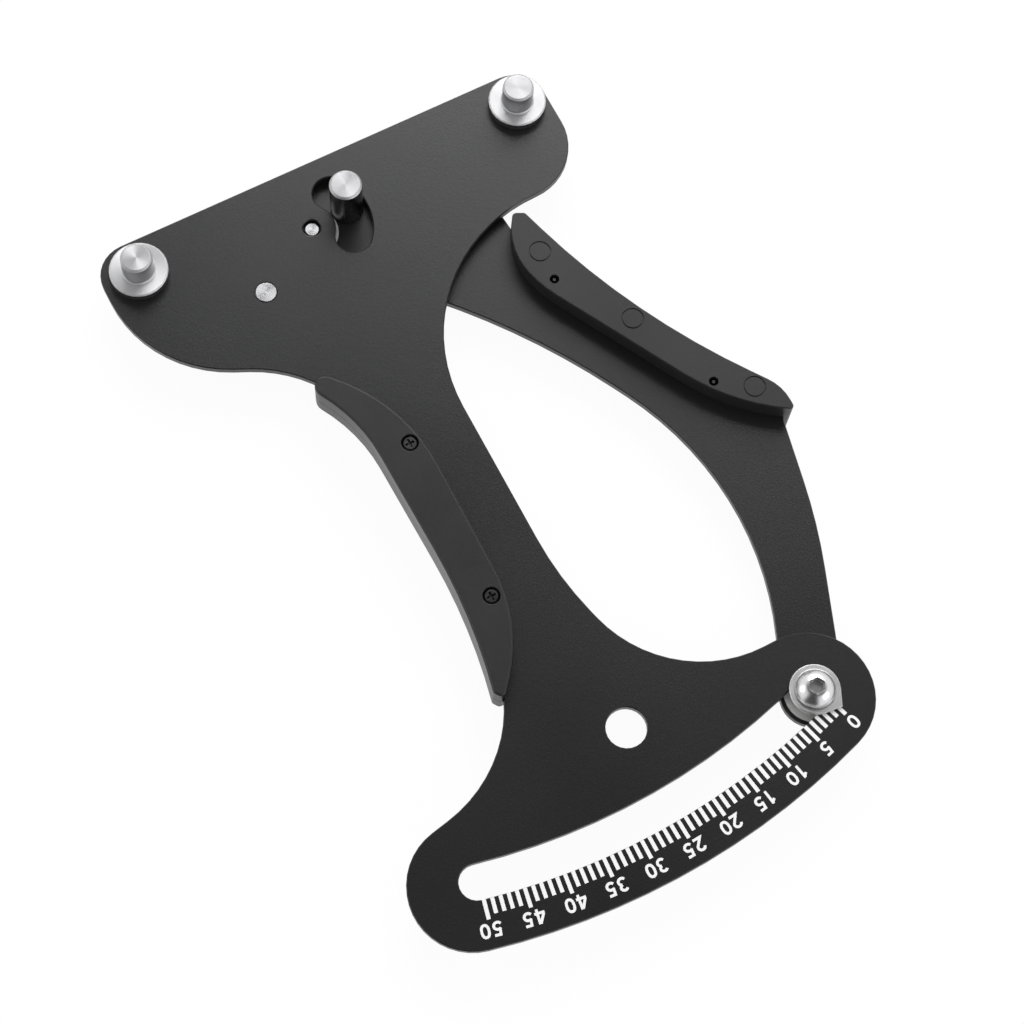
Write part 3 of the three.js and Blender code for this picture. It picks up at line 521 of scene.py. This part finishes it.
def tick_shape(angle, end):
    along = (polar(1, angle) - polar(0, angle)).normalized()
    across = Vector((-along.y, along.x)) * (TICK_WIDTH / 2)
    inner, outer = polar(TICK_START, angle), polar(end, angle)
    return [inner - across, outer - across, outer + across, inner + across], [[0, 1, 2, 3]]


def add_ticks():
    ends = [TICK_END if i % NUMBER_STEP else TICK_END_FIFTH for i in range(LAST_MARK + 1)]
    printed("scale_ticks", [tick_shape(angle, end) for angle, end in zip(MARKS, ends)])


DIGIT_FOOT = 202.05 * MM

# Sizes of a digit, in millimetres in its own box. A nought is squarer than an ellipse, whose power is 1.
DIGIT_WIDTH = 2.7
DIGIT_GAP = 0.55
STROKE = 0.72
NOUGHT_MIDDLE = (1.35, 1.975)
NOUGHT_REACH = (0.95, 1.575)
NOUGHT_POWER = 0.84

ARC_STEPS = 14
SAME_PLACE = 1e-6
CUT_TOLERANCE = 1e-5
FLAT_CORNER = math.radians(0.5)


def arc(x, y, across, up, start, end):
    angles = [math.radians(start + (end - start) * k / ARC_STEPS) for k in range(ARC_STEPS + 1)]
    return [(x + across * math.cos(a), y + up * math.sin(a)) for a in angles]


def pushed_out(share):
    """A cosine or sine, moved away from 0 as the nought's power says."""
    return math.copysign(abs(share) ** NOUGHT_POWER, share)


def nought():
    """The middle line of a nought."""
    points = []
    for k in range(2 * ARC_STEPS + 1):
        angle = math.pi * k / ARC_STEPS
        points.append((NOUGHT_MIDDLE[0] + NOUGHT_REACH[0] * pushed_out(math.cos(angle)),
                       NOUGHT_MIDDLE[1] + NOUGHT_REACH[1] * pushed_out(math.sin(angle))))
    return points


# Middle lines of the digits' strokes, in a box 2.7 wide and 3.95 high
STROKES = {
    "0": [nought()],
    "1": [[(1.7, 3.95), (1.7, 0)], [(0.75, 2.9), (1.75, 3.6)]],
    "2": [arc(1.33, 2.74, 0.95, 0.85, 170, -28) + [(0.48, 0.36), (2.62, 0.36)]],
    "3": [arc(1.28, 2.83, 0.88, 0.76, 152, -75), arc(1.28, 1.24, 0.98, 0.88, 75, -150)],
    "4": [[(1.75, 3.85), (0.3, 1.35)], [(0.02, 1.13), (2.74, 1.13)], [(1.95, 3.95), (1.95, 0)]],
    "5": [[(2.45, 3.59), (0.6, 3.59)], [(0.93, 3.9), (0.72, 1.85)],
          arc(1.22, 1.28, 1.03, 0.92, 132, -150)],
}


def stroke_quads(line):
    """The flat band of one stroke, as quads with mitred corners."""
    points = [Vector(p) for p in line]
    steps = [(b - a).normalized() for a, b in zip(points, points[1:])]
    closed = (points[0] - points[-1]).length < SAME_PLACE
    before = [steps[-1] if closed else steps[0]] + steps
    after = steps + [steps[0] if closed else steps[-1]]
    left, right = [], []
    for point, a, b in zip(points, before, after):
        first, second = Vector((-a.y, a.x)), Vector((-b.y, b.x))
        side = (first + second) / (1 + first.dot(second)) * (STROKE / 2)
        left.append(point + side)
        right.append(point - side)
    return [[right[i], right[i + 1], left[i + 1], left[i]] for i in range(len(steps))]


def digit_shape(digit):
    """Corners and triangles of a digit: all its strokes as one flat shape."""
    quads = [quad for line in STROKES[digit] for quad in stroke_quads(line)]
    corners = [corner for quad in quads for corner in quad]
    faces = [list(range(4 * i, 4 * i + 4)) for i in range(len(quads))]
    found = delaunay_2d_cdt(corners, [], faces, 0, CUT_TOLERANCE)
    points, triangles, sources = found[0], found[2], found[5]
    return points, [triangle for triangle, source in zip(triangles, sources) if source]


def number_shapes(number, angle):
    """The digits of a number, upright towards the pivot and centred on its mark."""
    text = str(number)
    wide = len(text) * DIGIT_WIDTH + (len(text) - 1) * DIGIT_GAP
    foot = polar(DIGIT_FOOT, angle)
    turn = Matrix.Rotation(math.radians(angle - 90), 2)
    shapes = []
    for k, digit in enumerate(text):
        points, triangles = digit_shape(digit)
        shift = Vector((k * (DIGIT_WIDTH + DIGIT_GAP) - wide / 2, 0))
        shapes.append(([foot + turn @ ((p + shift) * MM) for p in points], triangles))
    return shapes


def merge_flat(thing):
    """Takes away corners that no face uses, and joins the triangles that lie flat together."""
    mesh = bmesh.new()
    mesh.from_mesh(thing.data)
    loose = [corner for corner in mesh.verts if not corner.link_faces]
    bmesh.ops.delete(mesh, geom=loose, context="VERTS")
    bmesh.ops.dissolve_limit(mesh, angle_limit=FLAT_CORNER, verts=mesh.verts, edges=mesh.edges)
    mesh.to_mesh(thing.data)
    mesh.free()


def add_numbers():
    shapes = []
    for number in range(0, LAST_MARK + 1, NUMBER_STEP):
        shapes += number_shapes(number, MARKS[number])
    merge_flat(printed("scale_numbers", shapes))


add_ticks()
add_numbers()


# Return spring

# The middles of its two pins, at the height of its axis
ANCHOR = PIVOT + Vector((-20.15, -12.1, -9.2)) * MM
TAIL = PIVOT + Vector((-12.6, 13.2, -9.2)) * MM
PIN_RADIUS = 1.9 * MM
PIN_GAP = 0.25 * MM
WIRE_RADIUS = 0.4 * MM
WIRE_SIDES = 14
WIRE_STEPS = 4
COIL_RADIUS = 2.2 * MM
COILS = 10
COIL_STEPS = 8
PITCH = 1.3 * MM
LOOP_FROM = 1.75 * math.pi
LOOP_TO = 0.2 * math.pi
LOOP_STEPS = 14

# The wire's rounded end: its rings' widths as shares of the wire's, and its length as a share of its radius
END_WIDTHS = (0.35, 0.75, 0.94, 1.0)
END_LENGTH = 0.5


def spring_points():
    """The wire's middle line: a loop round each pin and the coil between them."""
    away = TAIL - ANCHOR
    length = away.length
    coil_start = (length - COILS * PITCH) / 2
    loop = PIN_RADIUS + PIN_GAP + WIRE_RADIUS
    hook = []
    for i in range(LOOP_STEPS + 1):
        angle = LOOP_FROM + (LOOP_TO - LOOP_FROM) * i / LOOP_STEPS
        hook.append(Vector((loop * math.cos(angle), loop * math.sin(angle), 0)))
    hook.append(Vector(((loop + coil_start) / 2, 0, 0)))
    coil = []
    for i in range(COILS * COIL_STEPS + 1):
        turn = 2 * math.pi * i / COIL_STEPS
        along = coil_start + PITCH * i / COIL_STEPS
        coil.append(Vector((along, COIL_RADIUS * math.sin(turn), -COIL_RADIUS * math.cos(turn))))
    far_hook = [Vector((length - p.x, -p.y, p.z)) for p in reversed(hook)]
    spin = Matrix.Rotation(math.atan2(away.y, away.x), 3, "Z")
    return [spin @ p + ANCHOR for p in hook + coil + far_hook]


def smooth_line(points, steps):
    """A Catmull-Rom line through the points."""
    line = []
    last = len(points) - 1
    for i in range(last):
        p0, p1, p2, p3 = points[max(i - 1, 0)], points[i], points[i + 1], points[min(i + 2, last)]
        bend = 2 * p0 - 5 * p1 + 4 * p2 - p3
        twist = 3 * p1 - p0 - 3 * p2 + p3
        for k in range(steps):
            t = k / steps
            line.append(0.5 * (2 * p1 + (p2 - p0) * t + bend * t ** 2 + twist * t ** 3))
    line.append(points[-1])
    return line


def tube(name, line, radius, sides):
    """A round wire along a line, its ends rounded."""
    start = [(END_LENGTH * (1 - math.sqrt(1 - width ** 2)), width) for width in END_WIDTHS]
    end = [(-reach, width) for reach, width in reversed(start)]
    last = len(line) - 1
    turns = [2 * math.pi * k / sides for k in range(sides)]
    rows = []
    normal = Vector((0, 0, 1))
    for i, point in enumerate(line):
        along = (line[min(i + 1, last)] - line[max(i - 1, 0)]).normalized()
        normal = (normal - along * normal.dot(along)).normalized()
        side = along.cross(normal)
        ring = [normal * math.cos(turn) + side * math.sin(turn) for turn in turns]
        for reach, width in {0: start, last: end}.get(i, [(0, 1)]):
            rows.append([point + (along * reach + r * width) * radius for r in ring])
    faces = [list(reversed(range(sides)))]
    for j in range(len(rows) - 1):
        for k in range(sides):
            a, b = j * sides + k, j * sides + (k + 1) % sides
            faces.append([a, b, b + sides, a + sides])
    faces.append([(len(rows) - 1) * sides + k for k in range(sides)])
    return add_mesh(name, [v for row in rows for v in row], faces, smooth=True)


def add_spring():
    line = smooth_line(spring_points(), WIRE_STEPS)
    wire = tube("return_spring_wire", line, WIRE_RADIUS, WIRE_SIDES)
    dress(wire, "spring_steel")
    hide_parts("return_spring")
    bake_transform(wire)


add_spring()


# Floor, world and lights

WHITE = (1, 1, 1, 1)
FLOOR_HALF = 6.0
FLOOR_WHITE = 0.94
FLOOR_UNEVEN = 0.01
FLOOR_CLOUD = 3.0

# Where the floor is seen, this share of it shows plain white and the rest keeps the shadow
FLOOR_SHOWN_WHITE = 0.95


def mirrored_ray(kit, path):
    return kit.math("MAXIMUM", path["Is Glossy Ray"], path["Is Transmission Ray"])


def floor_material():
    material = bpy.data.materials.new("floor_white")
    kit = empty_kit(material)
    place = kit.add("ShaderNodeTexCoord").outputs["Object"]
    shade = kit.noise(place, FLOOR_CLOUD)
    tone = kit.colour(shade, (FLOOR_WHITE - FLOOR_UNEVEN,) * 3, (FLOOR_WHITE,) * 3)
    paper = kit.add("ShaderNodeBsdfDiffuse", {"Color": tone}).outputs[0]
    glow = kit.add("ShaderNodeEmission", {"Color": WHITE, "Strength": 1.0}).outputs[0]
    path = kit.add("ShaderNodeLightPath").outputs
    seen = kit.math("MAXIMUM", path["Is Camera Ray"], mirrored_ray(kit, path))
    shown_white = kit.math("MULTIPLY", seen, FLOOR_SHOWN_WHITE)
    mix = kit.add("ShaderNodeMixShader", {0: shown_white, 1: paper, 2: glow})
    kit.add("ShaderNodeOutputMaterial", {"Surface": mix.outputs[0]})
    return material


def add_floor():
    h = FLOOR_HALF
    floor = add_mesh("floor", [(-h, -h, 0), (h, -h, 0), (h, h, 0), (-h, h, 0)], [[0, 1, 2, 3]])
    floor.data.materials.append(floor_material())


# What the world lights with, and what metal sees of it: white low down, darker overhead, and a dark gap.
# The zenith's heights are those of a direction of length 1, and the gap's edge is in cosines.
WORLD_LIGHT = 0.66
ZENITH_SEEN = 0.10
ZENITH_HEIGHTS = (0.55, 0.93)
GAP_SEEN = 0.05
GAP_AZIMUTH = math.radians(-134)
GAP_HALF_WIDTH = math.radians(30)
GAP_EDGE = (-0.08, 0.04)


def seen_in_metal(kit):
    direction = kit.add("ShaderNodeTexCoord").outputs["Generated"]
    sky = kit.spread(kit.height(direction), ZENITH_HEIGHTS, (1.0, ZENITH_SEEN))
    flat = kit.vector("MULTIPLY", {0: direction, 1: (1, 1, 0)})[0]
    level = kit.vector("NORMALIZE", {0: flat})[0]
    toward_gap = (math.cos(GAP_AZIMUTH), math.sin(GAP_AZIMUTH), 0)
    along = kit.vector("DOT_PRODUCT", {0: level, 1: toward_gap})["Value"]
    edge = [math.cos(GAP_HALF_WIDTH) + blend for blend in GAP_EDGE]
    return kit.spread(along, edge, (sky, GAP_SEEN))


def background(kit, strength):
    return kit.add("ShaderNodeBackground", {"Color": WHITE, "Strength": strength}).outputs[0]


def add_world():
    """A studio with an unlit gap between its front lamps, and a white background."""
    world = bpy.data.worlds.new("studio")
    scene.world = world
    kit = empty_kit(world)
    path = kit.add("ShaderNodeLightPath").outputs
    studio = kit.add("ShaderNodeMixShader", {
        0: mirrored_ray(kit, path),
        1: background(kit, WORLD_LIGHT),
        2: background(kit, seen_in_metal(kit)),
    })
    whole = kit.add("ShaderNodeMixShader", {
        0: path["Is Camera Ray"],
        1: studio.outputs[0],
        2: background(kit, 1.0),
    })
    kit.add("ShaderNodeOutputWorld", {"Surface": whole.outputs[0]})


def add_light(name, tilt, azimuth, distance, size, radiance):
    """A soft lamp that faces the origin. Tilt is from straight up, and radiance is how bright it looks."""
    tilt, azimuth = math.radians(tilt), math.radians(azimuth)
    place = distance * Vector((
        math.sin(tilt) * math.cos(azimuth),
        math.sin(tilt) * math.sin(azimuth),
        math.cos(tilt),
    ))
    data = bpy.data.lights.new(name, "AREA")
    data.shape = "RECTANGLE"
    data.size, data.size_y = size
    data.energy = radiance * math.pi * size[0] * size[1]
    light = bpy.data.objects.new(name, data)
    collection.objects.link(light)
    turn = (-place).to_track_quat("-Z", "Y").to_matrix()
    light.matrix_world = Matrix.Translation(place) @ turn.to_4x4()


add_floor()
add_world()
add_light("key_light", tilt=50, azimuth=53, distance=1.5, size=(1.25, 0.9), radiance=5.2)
add_light("left_light", tilt=63, azimuth=150, distance=1.2, size=(0.5, 0.4), radiance=2.5)
add_light("right_light", tilt=65, azimuth=-57, distance=1.2, size=(0.5, 0.4), radiance=2.5)

scene.view_settings.view_transform = "Standard"
